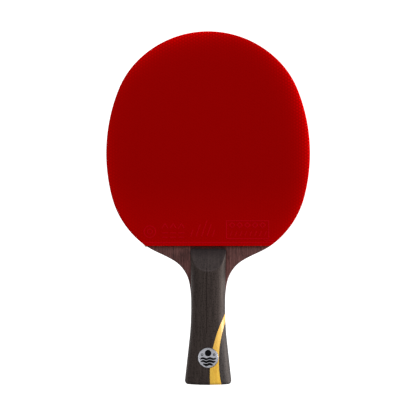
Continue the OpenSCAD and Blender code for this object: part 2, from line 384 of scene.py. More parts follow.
def piece(name, shell, materials, stands_for, cutter=None):
    """One named piece of the paddle, in the frame, in place of its CAD solids. A cutter
    is a solid whose shape is cut out of it."""
    made = mesh_of(name, shell)
    if cutter:
        cut = made.modifiers.new("recess", "BOOLEAN")
        cut.object = cutter
        cut.solver = "EXACT"
        scene_now = bpy.context.evaluated_depsgraph_get()
        made.data = bpy.data.meshes.new_from_object(made.evaluated_get(scene_now))
        made.modifiers.clear()
        made.data.materials.clear()
        close_up(made.data)
    for material in materials:
        made.data.materials.append(material)
    shading = made.modifiers.new("even shading", "WEIGHTED_NORMAL")
    shading.keep_sharp = True
    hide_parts(*stands_for)
    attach(made, "root")
    return made


def corners_of(made):
    """The points of a finished piece, in millimetres."""
    return np.array([v.co for v in made.data.vertices]) / MM


def store(made, name, values):
    """Keeps a share for each point of a piece, for its material to read."""
    stored = made.data.attributes.new(name, "FLOAT", "POINT")
    stored.data.foreach_set("value", values.astype(np.float32))


# ------------------------------------------------------ the finishes

def linear(colour):
    """A hex colour as a screen shows it, as the linear light that Blender works in."""
    parts = [int(colour[i : i + 2], 16) / 255 for i in (0, 2, 4)]
    light = [c / 12.92 if c <= 0.04045 else ((c + 0.055) / 1.055) ** 2.4 for c in parts]
    return (*light, 1)


def node(tree, kind, inputs=None, stops=None, **settings):
    """Adds a node with its settings. Each input is a value or another node's output, and
    stops are the places and colours of a ramp."""
    made = tree.nodes.new(kind)
    for key, value in settings.items():
        setattr(made, key, value)
    for key, value in (inputs or {}).items():
        if isinstance(value, bpy.types.NodeSocket):
            tree.links.new(value, made.inputs[key])
        else:
            made.inputs[key].default_value = value
    for i, (place, colour) in enumerate(stops or []):
        stop = made.color_ramp.elements[i] if i < 2 else made.color_ramp.elements.new(place)
        stop.position = place
        stop.color = linear(colour)
    return made


def noise(tree, place, size, detail=2.0):
    """Soft noise whose patches are about so many millimetres each way."""
    inputs = {"Vector": cells(tree, place, *size), "Scale": 1.0, "Detail": detail}
    return node(tree, "ShaderNodeTexNoise", inputs).outputs["Fac"]


def ramp(tree, value, *stops):
    """The colour that a value has on a ramp through these places and hex colours."""
    return node(tree, "ShaderNodeValToRGB", {"Fac": value}, stops=stops).outputs["Color"]


def carried(tree, value, to, over=(0.0, 1.0), **settings):
    """A value carried from the range that it is over to another range."""
    ends = ("From Min", "From Max", "To Min", "To Max")
    inputs = {"Value": value, **dict(zip(ends, (*over, *to)))}
    return node(tree, "ShaderNodeMapRange", inputs, **settings).outputs[0]


def number(tree, operation, *parts, **settings):
    """The sum, product or cosine of numbers."""
    settings["operation"] = operation
    return node(tree, "ShaderNodeMath", dict(enumerate(parts)), **settings).outputs[0]


def vector(tree, operation, *parts, result="Vector"):
    """What comes of vectors: another vector, or a value such as their length."""
    inputs = dict(enumerate(parts))
    return node(tree, "ShaderNodeVectorMath", inputs, operation=operation).outputs[result]


def mixed(tree, share, colour, other, blend="MIX"):
    """A share of another colour mixed into one, or multiplied with it."""
    inputs = {0: share, 6: colour, 7: other}
    return node(
        tree, "ShaderNodeMix", inputs, data_type="RGBA", blend_type=blend
    ).outputs[2]


def finish(name, **sockets):
    """A material whose shader has these values on its own sockets."""
    material = bpy.data.materials.new(name)
    material.use_nodes = True
    tree = material.node_tree
    shader = tree.nodes["Principled BSDF"]
    for key, value in sockets.items():
        shader.inputs[key.replace("_", " ")].default_value = value
    place = node(tree, "ShaderNodeTexCoord").outputs["Object"]
    return material, tree, shader, place


def cells(tree, place, x, y, z):
    """Coordinates in which one unit is a cell of that many millimetres each way."""
    return vector(tree, "MULTIPLY", place, (1 / (x * MM), 1 / (y * MM), 1 / (z * MM)))


def relief(tree, shader, height, depth, under=None):
    """Raises the surface by depth millimetres where height is 1, over what is under."""
    inputs = {"Height": height, "Distance": depth * MM, "Strength": 1.0}
    if under:
        inputs["Normal"] = under
    normal = node(tree, "ShaderNodeBump", inputs).outputs[0]
    tree.links.new(normal, shader.inputs["Normal"])
    return normal


def pip_rows(tree, place):
    """1 over each pip of the sheet and lower between them: three crossed sets of waves,
    whose sum runs from -1.5 to 3."""
    waves = []
    for turn in (0, 60, 120):
        a, full = math.radians(turn), 2 * math.pi / (PIP_ROW * MM)
        way = (math.cos(a) * full, math.sin(a) * full, 0)
        along = vector(tree, "DOT_PRODUCT", place, way, result="Value")
        waves.append(number(tree, "COSINE", along))
    total = number(tree, "ADD", number(tree, "ADD", waves[0], waves[1]), waves[2])
    return carried(tree, total, over=(-1.5, 3.0), to=(0.0, 1.0))


def toned(tree, place, colour, tone, x, y, half_w, half_l, fade):
    """A colour times a tone, such as painted shade, painted light or a glue line: over a
    rectangle whose middle is at x across and y above the butt, and fading out round it, all
    in millimetres."""
    away = vector(tree, "SUBTRACT", place, (x * MM, (BUTT_Y + y) * MM, 0))
    away = vector(tree, "ABSOLUTE", away)
    away = vector(tree, "SUBTRACT", away, (half_w * MM, half_l * MM, 1))
    away = vector(tree, "MAXIMUM", away, (0, 0, 0))
    away = vector(tree, "LENGTH", away, result="Value")
    share = carried(
        tree,
        away,
        over=(0.0, fade * MM),
        to=(1.0, 0.0),
        interpolation_type="SMOOTHSTEP",
    )
    return mixed(tree, share, colour, tone, "MULTIPLY")


def moulded_rubber(name, body, rim, shine_tint="ffffff", roughness=0.4):
    """Vulcanised natural rubber sheet, moulded: a satin skin, the pips under it just
    showing as rows of faint swellings, most of all in the painted highlight that makes its
    rim paler."""
    material, tree, shader, place = finish(
        name,
        Roughness=roughness,
        IOR=1.52,
        Specular_IOR_Level=0.4,
        Specular_Tint=linear(shine_tint),
    )
    # The painted highlight along the rim, with the rows of pips showing through it
    sheen = node(tree, "ShaderNodeAttribute", attribute_name="rim_sheen").outputs["Fac"]
    pips_below = pip_rows(tree, place)
    sheen = number(tree, "MULTIPLY", sheen, carried(tree, pips_below, to=(0.4, 1.7)))
    cloud = noise(tree, place, (9, 9, 9), detail=3.0)
    spread = carried(tree, cloud, to=(0.004, 0.016))
    # Painted light, paler towards the handle, and a painted highlight along the lip
    height = node(tree, "ShaderNodeSeparateXYZ", {0: place}).outputs["Y"]
    for paler, whole_at, none_at in PAINTED_LIGHT_NEAR_CUT:
        fading = ((BUTT_Y + whole_at) * MM, (BUTT_Y + none_at) * MM)
        painted_light_share = carried(tree, height, over=fading, to=(paler, 0.0))
        spread = number(tree, "ADD", spread, painted_light_share)
    tone = number(tree, "ADD", sheen, spread, use_clamp=True)
    colour = ramp(tree, tone, (0.0, body), (1.0, rim))
    tree.links.new(colour, shader.inputs["Base Color"])
    swelling = relief(tree, shader, pips_below, depth=0.02)
    skin = noise(tree, place, (0.5, 0.5, 0.5))
    relief(tree, shader, skin, depth=0.0012, under=swelling)
    return material


def foamed_sponge():
    """Foamed rubber, sliced: a matt orange cut with pores about 0.5 mm across."""
    material, tree, shader, place = finish(
        "Foamed rubber, orange, sliced", Roughness=0.85, Specular_IOR_Level=0.3
    )
    pores = node(
        tree,
        "ShaderNodeTexVoronoi",
        {"Vector": cells(tree, place, 0.55, 0.55, 0.45), "Scale": 1.0},
    ).outputs["Distance"]
    colour = ramp(tree, pores, (0.12, "8f3f12"), (0.42, "d9742c"), (0.8, "e58a44"))
    tree.links.new(colour, shader.inputs["Base Color"])
    relief(tree, shader, pores, depth=0.12)
    return material


def uneven(name, patch, colours, depth, shine=None, detail=2.0, **sockets):
    """A material uneven over patches of a size: between two colours, in height by depth
    millimetres and, where shine is given, between two roughnesses."""
    material, tree, shader, place = finish(name, **sockets)
    cloud = noise(tree, place, patch, detail)
    colour = ramp(tree, cloud, (0.3, colours[0]), (0.7, colours[1]))
    tree.links.new(colour, shader.inputs["Base Color"])
    if shine:
        tree.links.new(carried(tree, cloud, to=shine), shader.inputs["Roughness"])
    relief(tree, shader, cloud, depth)
    return material


def wood(
    name,
    grain,
    pores,
    colours,
    roughness,
    pore_tone=0.45,
    pore_depth=0.03,
    painted_shade_and_glue=(),
    painted_light_bands=(),
    **sockets,
):
    """Wood whose grain runs the long way of its cells, in three tones from dark to light.
    Its pores are fine dark flecks, cut a little into the surface. Painted shade and glue
    lines darken places on it, strips of painted light are paler than the rest, and it is
    greyer where it is fresh cut, and painted paler there."""
    material, tree, shader, place = finish(name, Roughness=roughness, IOR=1.5, **sockets)
    streak = noise(tree, place, grain, detail=4.0)
    dark, middle, light = colours
    plain = ramp(tree, streak, (0.32, dark), (0.5, middle), (0.7, light))
    solid = carried(tree, noise(tree, place, pores), over=(0.34, 0.5), to=(pore_tone, 1.0))
    colour = mixed(tree, 1.0, plain, solid, "MULTIPLY")
    for shade, *patch in painted_shade_and_glue:
        colour = toned(tree, place, colour, linear(shade), *patch)
    # Painted light, paler where a shadow falls
    for gain, *patch in painted_light_bands:
        colour = toned(tree, place, colour, (gain, gain, gain, 1), *patch)
    # The facet's greyer tone, and painted light that makes it paler, with a painted
    # highlight along its arris
    fresh = node(tree, "ShaderNodeAttribute", attribute_name="fresh_cut_and_highlight").outputs["Fac"]
    share = carried(tree, fresh, to=(0.0, FRESH_CUT_SHARE))
    colour = mixed(tree, share, colour, linear(FRESH_WOOD))
    paler = carried(tree, fresh, to=(1.0, FACET_PAINTED_LIGHT), clamp=False)
    inputs = {0: colour, "Scale": paler}
    colour = node(tree, "ShaderNodeVectorMath", inputs, operation="SCALE").outputs[0]
    tree.links.new(colour, shader.inputs["Base Color"])
    relief(tree, shader, solid, pore_depth)
    return material


def woven_fibre():
    """Arylate and carbon cloth, woven and glued between plies: dark tows crossed by
    yellow-green ones about 1.4 mm wide, cut through at the blade's edge."""
    material, tree, shader, place = finish(
        "Arylate and carbon cloth, woven", Roughness=0.4, IOR=1.55
    )
    tows = node(
        tree,
        "ShaderNodeTexChecker",
        {
            "Vector": cells(tree, place, 1.4, 1.4, 1.4),
            "Color1": linear("17181a"),
            "Color2": linear("6a6f35"),
            "Scale": 1.0,
        },
    )
    tree.links.new(tows.outputs["Color"], shader.inputs["Base Color"])
    relief(tree, shader, tows.outputs["Fac"], depth=0.02)
    return material


# Deep red, going to a brighter red along its rim as a painted highlight, and its marks a
# # touch paler as a painted highlight on their ridges
RED_RUBBER = moulded_rubber(
    "Natural rubber, red, moulded", body="890000", rim="f80000", shine_tint="ff2010"
)
RED_MARKS = moulded_rubber(
    "Natural rubber, red, moulded marks",
    body="96000e",
    rim="f80010",
    shine_tint="ff2020",
    roughness=0.45,
)
# Near black, going to grey along its rim as a painted highlight, and its marks a touch
# # paler as a painted highlight on their ridges
BLACK_RUBBER = moulded_rubber("Natural rubber, black, moulded", body="0d0d0e", rim="3a3a3d")
BLACK_MARKS = moulded_rubber(
    "Natural rubber, black, moulded marks", body="1b1b1e", rim="3a3a3d"
)
SPONGE = foamed_sponge()
# Latex glue, dried: a thin milky line, slightly cloudy along its length
GLUE = uneven(
    "Latex glue, dried film",
    patch=(1.5, 1.5, 1.5),
    colours=("b9b2a2", "dcd7ca"),
    depth=0.02,
    Roughness=0.4,
    IOR=1.5,
)
FIBRE = woven_fibre()
# Ayous, sawn: a soft pale core, its grain along the blade
CORE_WOOD = wood(
    "Ayous, sawn edge",
    grain=(0.5, 16, 0.5),
    pores=(0.25, 3, 0.25),
    colours=("b18c55", "cfae78", "dcc093"),
    roughness=0.6,
)
# Limba, sliced: a light brown line at the blade's edge, its grain across the blade
INNER_WOOD = wood(
    "Limba, sliced",
    grain=(16, 0.4, 0.4),
    pores=(3, 0.2, 0.2),
    colours=("9c7442", "b98f5a", "c9a473"),
    roughness=0.6,
)
# Wenge, sliced and sanded: brown-violet, with fine straight streaks and open pores
FACE_VENEER = wood(
    "Wenge, sliced and sanded",
    grain=(0.5, 24, 4),
    pores=(0.35, 3, 1),
    colours=("4b2f2d", "65403d", "7d5450"),
    roughness=0.5,
    # Painted shade in the gap between rubber and handle, and a painted red reflection of the
    # rubber's side along its cut edge
    painted_shade_and_glue=(
        ("c48c78", 0, HANDLE_L + PAINTED_SHADE_GAP, PAINTED_SHADE_HALF_W, PAINTED_SHADE_GAP, PAINTED_SHADE_ON_BLADE),
        ("f0b4a8", 0, RED_REFLECTION_AT, BLADE_HALF_W, 0.3, RED_REFLECTION_REACH),
    ),
    # Painted light beside the handle, where its shadow falls
    painted_light_bands=(PAINTED_LIGHT_BAND,),
    Specular_IOR_Level=0.2,
)


def dyed_ash(name, colours):
    """Ash, dyed through, laminated and sanded: near black, with fine lines along the
    handle."""
    return wood(
        name,
        grain=(0.8, 14, 30),
        pores=(0.75, 0.9, 1.0),
        colours=colours,
        roughness=0.5,
        pore_tone=0.4,
        pore_depth=0.02,
        # Painted shade on the handle's top end under the rubber's edge, and on its
        # right-hand edge below that; the glue line between the handle's halves is the
        # handle's own
        painted_shade_and_glue=(
            ("beb0b2", 0, HANDLE_L, BUTT_W, PAINTED_SHADE_END, PAINTED_SHADE_ON_HANDLE),
            ("b4acac", *GLUE_LINE),
            ("b4b0b0", *FLANK_SHADE),
        ),
        Specular_IOR_Level=0.18,
        Specular_Tint=linear("ffe8dc"),
    )


HANDLE_WOOD = dyed_ash("Ash, dyed and laminated", ("2e2826", "372f2d", "413936"))
# The flank took the dye a little greyer
FLANK_WOOD = dyed_ash("Ash, dyed grey and laminated", ("2f2d2c", "383434", "423f3e"))
# Maple, dyed yellow through, with close pale grain, its colours paled by a painted highlight
STRIPE_WOOD = wood(
    "Maple, dyed yellow",
    grain=(1.2, 9, 3),
    pores=(0.4, 2.5, 1),
    colours=("d9a74e", "dfb152", "e7bb5c"),
    roughness=0.4,
    pore_tone=0.82,
    pore_depth=0.015,
    painted_shade_and_glue=(("ffffcf", *BUTT_WITHOUT_HIGHLIGHT), ("fff0e0", *STRIPE_END_SHADE)),
    Specular_IOR_Level=0.3,
    Coat_Weight=0.35,
    Coat_Roughness=0.35,
)
# Aluminium, brushed and clear lacquered: a bright grey with fine lines across
ALUMINIUM = uneven(
    "Aluminium, brushed and lacquered",
    patch=(6, 0.12, 1),
    colours=("b6b7c0", "d8d9e0"),
    depth=0.01,
    shine=(0.34, 0.5),
    detail=3.0,
    Metallic=0.5,
    Coat_Weight=0.3,
)
# Soft enamel, filled in and baked: a glossy black, very slightly uneven
ENAMEL = uneven(
    "Enamel, filled and baked",
    patch=(1.2, 1.2, 1.2),
    colours=("070709", "0e0e11"),
    depth=0.01,
    shine=(0.22, 0.36),
    IOR=1.5,
    Specular_IOR_Level=0.2,
)


# --------------------------------------------------------- the blade

def inward(loop):
    """The direction into the blade at each point of an anticlockwise outline."""
    along = np.roll(loop, -1, axis=0) - np.roll(loop, 1, axis=0)
    along /= np.linalg.norm(along, axis=1)[:, None]
    return np.column_stack([-along[:, 1], along[:, 0]])


def ply(node_name, wing_r=0.0):
    """A ply of the blade, whose upper edge is sanded round on the wings."""
    loop = blade_loop()
    low_z, high_z = heights_of(node_name)
    bare_to = node_box("sponge_front")[0][1]
    y = loop[:, 1]
    rise = np.clip((y - BUTT_Y - WINGS_FROM) / WING_START, 0, 1)
    r = wing_r * rise * np.clip((bare_to - y) / WING_END, 0, 1)
    loops = [lift(loop, low_z)]
    for a in np.radians(WING_TURNS if wing_r else [0]):
        edge = loop + inward(loop) * (r * (1 - math.cos(a)))[:, None]
        loops.append(lift(edge, high_z - r * (1 - math.sin(a))))
    shell = Shell()
    shell.stack(loops)
    return shell


def both_sides(name, node_name, shell, material):
    """The same piece on the front and on the back, in place of their CAD solids."""
    front, back = node_name + "_front", node_name + "_back"
    piece("front_" + name, shell, [material], [front])
    piece("back_" + name, shell.turned_over(), [material], [back])


piece("blade_core", ply("core_ply"), [CORE_WOOD], ["core_ply"])
both_sides("fibre_cloth", "fibre_layer", ply("fibre_layer_front"), FIBRE)
both_sides("inner_veneer", "inner_ply", ply("inner_ply_front"), INNER_WOOD)
face = ply("face_ply_front", WING_R)
both_sides("face_veneer", "face_ply", face, FACE_VENEER)


# ------------------------------------------------------- the rubbers

def settle(shell, loop, base_z, top_z):
    """Lets a rubber down towards its rim, all of it at the top and none at its base. It
    doesn't roll over at the cut beside the handle."""
    p = np.array(shell.points)
    depth = distance_to(loop, p[:, :2])
    roll = RIM_ROLL * np.clip((p[:, 1] - loop[:, 1].min()) / ROLL_FROM_CUT, 0, 1)
    drop = RIM_SAG * np.exp(-depth / RIM_SAG_REACH)
    drop += roll * np.exp(-depth / RIM_ROLL_REACH)
    p[:, 2] -= drop * np.clip((p[:, 2] - base_z) / (top_z - base_z), 0, 1)
    shell.points = [tuple(q) for q in p]


def pips(shell, loop, low_z, high_z):
    """The pips that the cut rim shows, those on the outline cut off flush with it."""
    low, high = loop.min(0), loop.max(0)
    foot_z = high_z - PIP_FOOT_H
    for column in range(math.floor(low[0] / PIP_ROW), math.ceil(high[0] / PIP_ROW) + 1):
        shift = PIP_PITCH / 2 * (column % 2)
        rows = range(math.floor(low[1] / PIP_PITCH), math.ceil(high[1] / PIP_PITCH) + 1)
        middles = np.array([(column * PIP_ROW, row * PIP_PITCH + shift) for row in rows])
        inside = reach_of(loop, middles) - np.linalg.norm(middles - HEAD_MIDDLE, axis=1)
        for middle in middles[(inside > -PIP_R * PIP_OUT) & (inside < PIP_BAND)]:
            loops = []
            for r, z in ((PIP_R, low_z), (PIP_R, foot_z), (PIP_FOOT_R, high_z)):
                rim = ring(middle, r, PIP_SIDES)
                away = np.linalg.norm(rim - HEAD_MIDDLE, axis=1)
                within = (reach_of(loop, rim) - PIP_CUT_BACK) / away
                within = np.minimum(1, within)[:, None]
                loops.append(lift(HEAD_MIDDLE + (rim - HEAD_MIDDLE) * within, z))
            shell.stack(loops)


def raised_line(shell, path, base_z, closed=False):
    """A low ridge with sloping sides along a path, pressed up out of the rubber. It has
    points enough to settle with the sheet under it."""
    p = []
    ends = [*path[1:], path[0]] if closed else path[1:]
    for start, end in zip(path, ends):
        start, end = np.array(start, float), np.array(end, float)
        count = math.ceil(np.linalg.norm(end - start) / MARK_STEP)
        p += [start + (end - start) * i / count for i in range(count)]
    p = np.array(p if closed else [*p, path[-1]])
    ahead = np.roll(p, -1, axis=0) - p
    behind = np.roll(ahead, 1, axis=0)
    if not closed:
        ahead[-1], behind[0] = behind[-1], ahead[0]
    ahead /= np.linalg.norm(ahead, axis=1)[:, None]
    behind /= np.linalg.norm(behind, axis=1)[:, None]
    across = ahead + behind
    across = np.column_stack([-across[:, 1], across[:, 0]])
    across /= (across * np.column_stack([-ahead[:, 1], ahead[:, 0]])).sum(1)[:, None]
    foot, ridge = -MARK_W / 2, -MARK_TOP_W / 2
    steps = [(foot, base_z - MARK_SUNK), (foot, base_z), (ridge, base_z + MARK_H)]
    steps += [(-w, z) for w, z in steps[::-1]]
    sides = [lift(p + across * w, z) for w, z in steps]
    rows = [np.array(row) for row in zip(*sides)]
    if closed:
        rows.append(rows[0])
        shell.grid(rows, wrap=True, slot=1)
    else:
        shell.stack(rows, slot=1)


def marks(shell, loop, z):
    """A generic band of marks along the straight edge: a long rule, a framed row of
    lozenges over slanting bars, two rings, three roofs and a fan, and no lettering."""
    cut = np.array([0, loop[:, 1].min()])

    def line(points, at=0, closed=False):
        raised_line(shell, np.array(points) + cut + [at, 0], z, closed)

    right_side = loop[: len(loop) // 4]
    half = np.interp(cut[1] + RULE_UP, right_side[:, 1], right_side[:, 0]) - RULE_SHORT
    line([(-half, RULE_UP), (half, RULE_UP)])
    line(MARK_BORDER, closed=True)
    line(SHORT_RULE)
    for x in np.arange(*LOZENGE_ROW):
        line(LOZENGE, at=x, closed=True)
    for x in np.arange(*BAR_ROW):
        line(BAR, at=x)
    for r, count in RING_SIZES:
        line(ring(RINGS_AT, r, count), closed=True)
    for x in ROOFS_AT:
        for stroke in ROOF:
            line(stroke, at=x)
    for x, top in FAN:
        line([(x, FAN_UP), (x + (top - FAN_UP) * FAN_SLANT, top)])


def topsheet(loop, low_z, high_z):
    """A top sheet: a skin with rows of pips under it, solid where no pip can be seen."""
    shell = Shell()
    skin_z = high_z - SKIN_T
    loops = []
    for depth in SKIN_RINGS:
        loops.append(lift(inset(loop, depth), high_z))
    for a in np.radians(QUARTER_TURN[::-1]):
        edge = inset(loop, SKIN_EDGE_R * (1 - math.cos(a)))
        loops.append(lift(edge, high_z - SKIN_EDGE_R * (1 - math.sin(a))))
    loops.append(lift(loop, skin_z))
    for depth in (*UNDER_RINGS, PIP_BAND):
        loops.append(lift(inset(loop, depth), skin_z))
    loops.append(lift(inset(loop, PIP_BAND), low_z))
    shell.stack(loops)
    pips(shell, loop, low_z, skin_z)
    marks(shell, loop, high_z)
    return shell


def sponge(loop, low_z, high_z):
    """A sponge, its sliced side drawn in very slightly between its two faces."""
    shell = Shell()
    loops = [lift(inset(loop, SPONGE_RINGS[-1]), low_z), lift(loop, low_z)]
    for share, depth in SPONGE_HOLLOW:
        loops.append(lift(inset(loop, depth), low_z + (high_z - low_z) * share))
    for depth in (0.0, *SPONGE_RINGS):
        loops.append(lift(inset(loop, depth), high_z))
    shell.stack(loops)
    return shell


def rim_sheen(loop, points):
    """How pale the painted highlight along the rim makes each point of a sheet, as a share.
    """
    x, y = (points[:, :2] - HEAD_MIDDLE).T
    turn = np.arctan2(y, x)
    sheen_share = np.full(len(points), RIM_SHEEN_ALL)
    for at, more, half in RIM_SHEEN_SPOTS:
        off = np.degrees(np.angle(np.exp(1j * (turn - math.radians(at)))))
        sheen_share += more * np.exp(-((off / half) ** 2))
    depth = distance_to(loop, points[:, :2])
    band = (1 - RIM_SHEEN_DEEP) * np.exp(-depth / RIM_SHEEN_REACH)
    return sheen_share * (band + RIM_SHEEN_DEEP * np.clip(1 - depth / RIM_SHEEN_DEEP_REACH, 0, 1) ** 2)


def rubber(side, overhang, sheet_materials):
    """The glue film, sponge and top sheet of one side."""
    loop = rubber_loop(overhang)
    sponge_z, sheet_z = heights_of("sponge_front"), heights_of("topsheet_front")
    film = Shell()
    film.stack([lift(loop, z) for z in heights_of("glue_film_front")])
    foam, skin = sponge(loop, *sponge_z), topsheet(loop, *sheet_z)
    for layer in (foam, skin):
        settle(layer, loop, sponge_z[0], sheet_z[1])
    if side == "back":
        film, foam, skin = film.turned_over(), foam.turned_over(), skin.turned_over()
        loop = loop * [-1, 1]
    piece(side + "_glue", film, [GLUE], ["glue_film_" + side])
    pad = piece(side + "_foam", foam, [SPONGE], ["sponge_" + side])
    made = piece(side + "_sheet", skin, sheet_materials, ["topsheet_" + side])
    store(made, "rim_sheen", rim_sheen(loop, corners_of(made)))


rubber("front", 0.0, [RED_RUBBER, RED_MARKS])
rubber("back", OVERHANG, [BLACK_RUBBER, BLACK_MARKS])


# -------------------------------------------------------- the handle

FLARE_X = WAIST_W / 2 + FLARE_R
TAPER = (
    math.atan2(-WAIST_Y, BUTT_W / 2 - FLARE_X)
    - math.acos(FLARE_R / math.hypot(BUTT_W / 2 - FLARE_X, WAIST_Y))
    + math.pi
)
FLARE_Y = WAIST_Y - FLARE_R * math.sin(TAPER)


def half_width(y):
    """Half the handle's width at a height above its butt."""
    straight = BUTT_W / 2 - y * math.tan(TAPER)
    flare = FLARE_X - np.sqrt(FLARE_R**2 - (WAIST_Y - np.minimum(y, WAIST_Y)) ** 2)
    above = (y - WAIST_Y) / (HANDLE_L - WAIST_Y)
    collar = (WAIST_W + (COLLAR_W - WAIST_W) * above**2) / 2
    return np.where(y < FLARE_Y, straight, np.where(y < WAIST_Y, flare, collar))


def bow(x):
    """How far the butt's curved end rises towards its corners."""
    return BUTT_BOW * (x / (BUTT_W / 2)) ** 2


def rounded(depth, r):
    """How far an edge of radius r has dropped at a distance in from it."""
    left = np.clip(r - depth, 0, r)
    return r - np.sqrt(r**2 - left**2)


def bulge(across):
    """How high the crown stands, as a share, at a share of the way out to the side."""
    return (1 - np.abs(across) ** CROWN_POWER) ** (1 / CROWN_POWER)


CROWN_BASE = WALL_H - (SCALE_H - WALL_H) * bulge(WAIST_W / (WAIST_W + 2 * CROWN_OVER))


def dome(x, y):
    """Height of the handle's crown above the blade, lower at the butt's edge, before the
    facet is cut."""
    across = np.clip(x / (half_width(y) + CROWN_OVER), -1, 1)
    rise = SCALE_H - CROWN_BASE - rounded(y - bow(x), BUTT_EDGE_R)
    return CROWN_BASE + rise * bulge(across)


def facet(y):
    """Height of the sloping facet of the handle's top end."""
    return BEVEL_H + (HANDLE_L - y) / BEVEL_L * (SCALE_H - BEVEL_H)


def fresh_cut_and_highlight(x, y):
    """How fresh cut each point is, with painted light on the facet and a painted highlight
    along its arris.
    """
    depth = dome(x, y) - facet(y)
    arris = ARRIS_HIGHLIGHT * np.exp(-(((depth - ARRIS_IN) / ARRIS_HALF_W) ** 2))
    return np.clip(depth / FRESH_CUT_SOFT, 0, 1) + arris


def crown(x, y):
    """Height of the finished handle above the blade."""
    z, cut = dome(x, y), facet(y)
    both = (z + cut - np.sqrt((z - cut) ** 2 + BEVEL_SOFT**2)) / 2
    z = np.where(y > FACET_FROM, both, z)
    return z - rounded(HANDLE_L - y, COLLAR_EDGE_R)


def seam_x(seam, y):
    """Where a seam of the inlay crosses the handle at a height above the butt."""
    nearest, at_y, r = seam
    return nearest + r - math.sqrt(r**2 - (y - at_y) ** 2)


def meets_side(seam):
    """The height at which a seam runs out through the handle's side."""
    low, high = SEAMS_END
    while high - low > SAME_PLACE / 10:
        y = (low + high) / 2
        if seam_x(seam, y) < half_width(y):
            low = y
        else:
            high = y
    return low


SEAM_ENDS = {seam: meets_side(seam) for seam in (INNER_SEAM, OUTER_SEAM)}


def handle_rows():
    """Rows across the handle from butt to top: how far each reaches to the side, and
    its height above the butt at the side and in the middle."""
    reach = BUTT_CORNER_R / math.cos(TAPER)
    corner_y = BUTT_CORNER_R + bow(BUTT_W / 2 - BUTT_CORNER_R * math.tan(TAPER) - reach)
    corner_x = BUTT_W / 2 - corner_y * math.tan(TAPER) - reach
    start = math.atan(2 * BUTT_BOW * corner_x / (BUTT_W / 2) ** 2) - math.pi / 2
    rows = []
    for a in np.linspace(start, TAPER, CORNER_ROWS):
        x, y = corner_x + BUTT_CORNER_R * math.cos(a), corner_y + BUTT_CORNER_R * math.sin(a)
        rows.append((x, y))
    lag = rows[0][1]
    rows = [(x, y, y - lag) for x, y in rows]
    low = rows[-1][1]
    collar_y = HANDLE_L - COLLAR_CORNER_R
    heights = [*np.linspace(low, FACET_FROM, PLAIN_ROWS)[1:], *SEAM_ENDS.values()]
    heights += [*np.linspace(FACET_FROM, collar_y, FACET_ROWS)[1:]]
    for y in sorted(heights):
        fade = max(0.0, 1 - (y - low) / BOW_FADE) ** 2
        rows.append((float(half_width(y)), y, y - lag * fade))
    side = float(half_width(collar_y)) - COLLAR_CORNER_R
    for a in np.radians(TOP_TURNS):
        y = collar_y + COLLAR_CORNER_R * math.sin(a)
        rows.append((side + COLLAR_CORNER_R * math.cos(a), y, y))
    return rows


def handle_strip(left, right, columns):
    """One of the handle's glued strips, between two seams or out to the side where it has
    none. Its top follows the crown, with a fine groove along each seam."""
    rows = []
    for side, y_side, y_middle in handle_rows():
        if left and y_middle > SEAM_ENDS[left]:
            continue
        x0, x1 = -side, side
        if left:
            x0 = max(x0, seam_x(left, y_middle))
        if right and y_middle < SEAM_ENDS[right]:
            x1 = min(x1, seam_x(right, y_middle))
        wide = float(half_width(y_side)) + CROWN_OVER
        turns = np.linspace(math.acos(x0 / wide), math.acos(max(x0, x1) / wide), columns)
        x = wide * np.cos(turns)
        if left:
            x = np.insert(x, 1, min(x0 + SEAM_GAP, (x0 + x[1]) / 2))
        if right:
            x = np.insert(x, -1, max(x1 - SEAM_GAP, (x1 + x[-2]) / 2))
        y = y_middle + (y_side - y_middle) * (x / side) ** 2
        z = crown(x, y)
        if left:
            z[0] -= SEAM_DEPTH
        if x1 < side - SAME_PLACE:
            z[-1] -= SEAM_DEPTH
        rows.append(np.column_stack([x, y, z]))
    rim = [*rows[0][:-1], *[row[-1] for row in rows[:-1]]]
    rim += [*rows[-1][:0:-1], *[row[0] for row in rows[:0:-1]]]
    rim = np.array(rim)
    foot = rim * [1, 1, 0]
    shell = Shell()
    shell.grid(rows)
    shell.grid([rim, foot], wrap=True)
    shell.add(foot, [range(len(foot))])
    shell.points = [(x, y + BUTT_Y, z + HANDLE_Z) for x, y, z in shell.points]
    return shell


def recess_cutter():
    """The round recess for the badge, as a solid to cut away."""
    shell = Shell()
    rim = ring(BADGE_MIDDLE, RECESS_R, ROUND_SIDES)
    shell.stack([lift(rim, HANDLE_Z + z) for z in (RECESS_FLOOR, SCALE_H + RECESS_OVER)])
    cutter = mesh_of("recess_cutter", shell)
    cutter.hide_render = True
    return cutter


recess = recess_cutter()
for name, left, right, columns, material, slot in (
    ("body", None, INNER_SEAM, 44, HANDLE_WOOD, "handle_wood"),
    ("stripe", INNER_SEAM, OUTER_SEAM, 10, STRIPE_WOOD, "stripe_wood"),
    ("flank", OUTER_SEAM, None, 16, FLANK_WOOD, "handle_wood"),
):
    shell = handle_strip(left, right, columns)
    front, back = f"handle_{name}_front", f"handle_{name}_back"
    over = piece("front_grip_" + name, shell, [material], [front], cutter=recess)
    under = piece("back_grip_" + name, shell.turned_over(), [material], [back])
    for made in (over, under):
        x, y, _ = corners_of(made).T
        store(made, "fresh_cut_and_highlight", fresh_cut_and_highlight(x, y - BUTT_Y))
bpy.data.objects.remove(recess)


# --------------------------------------------------------- the badge

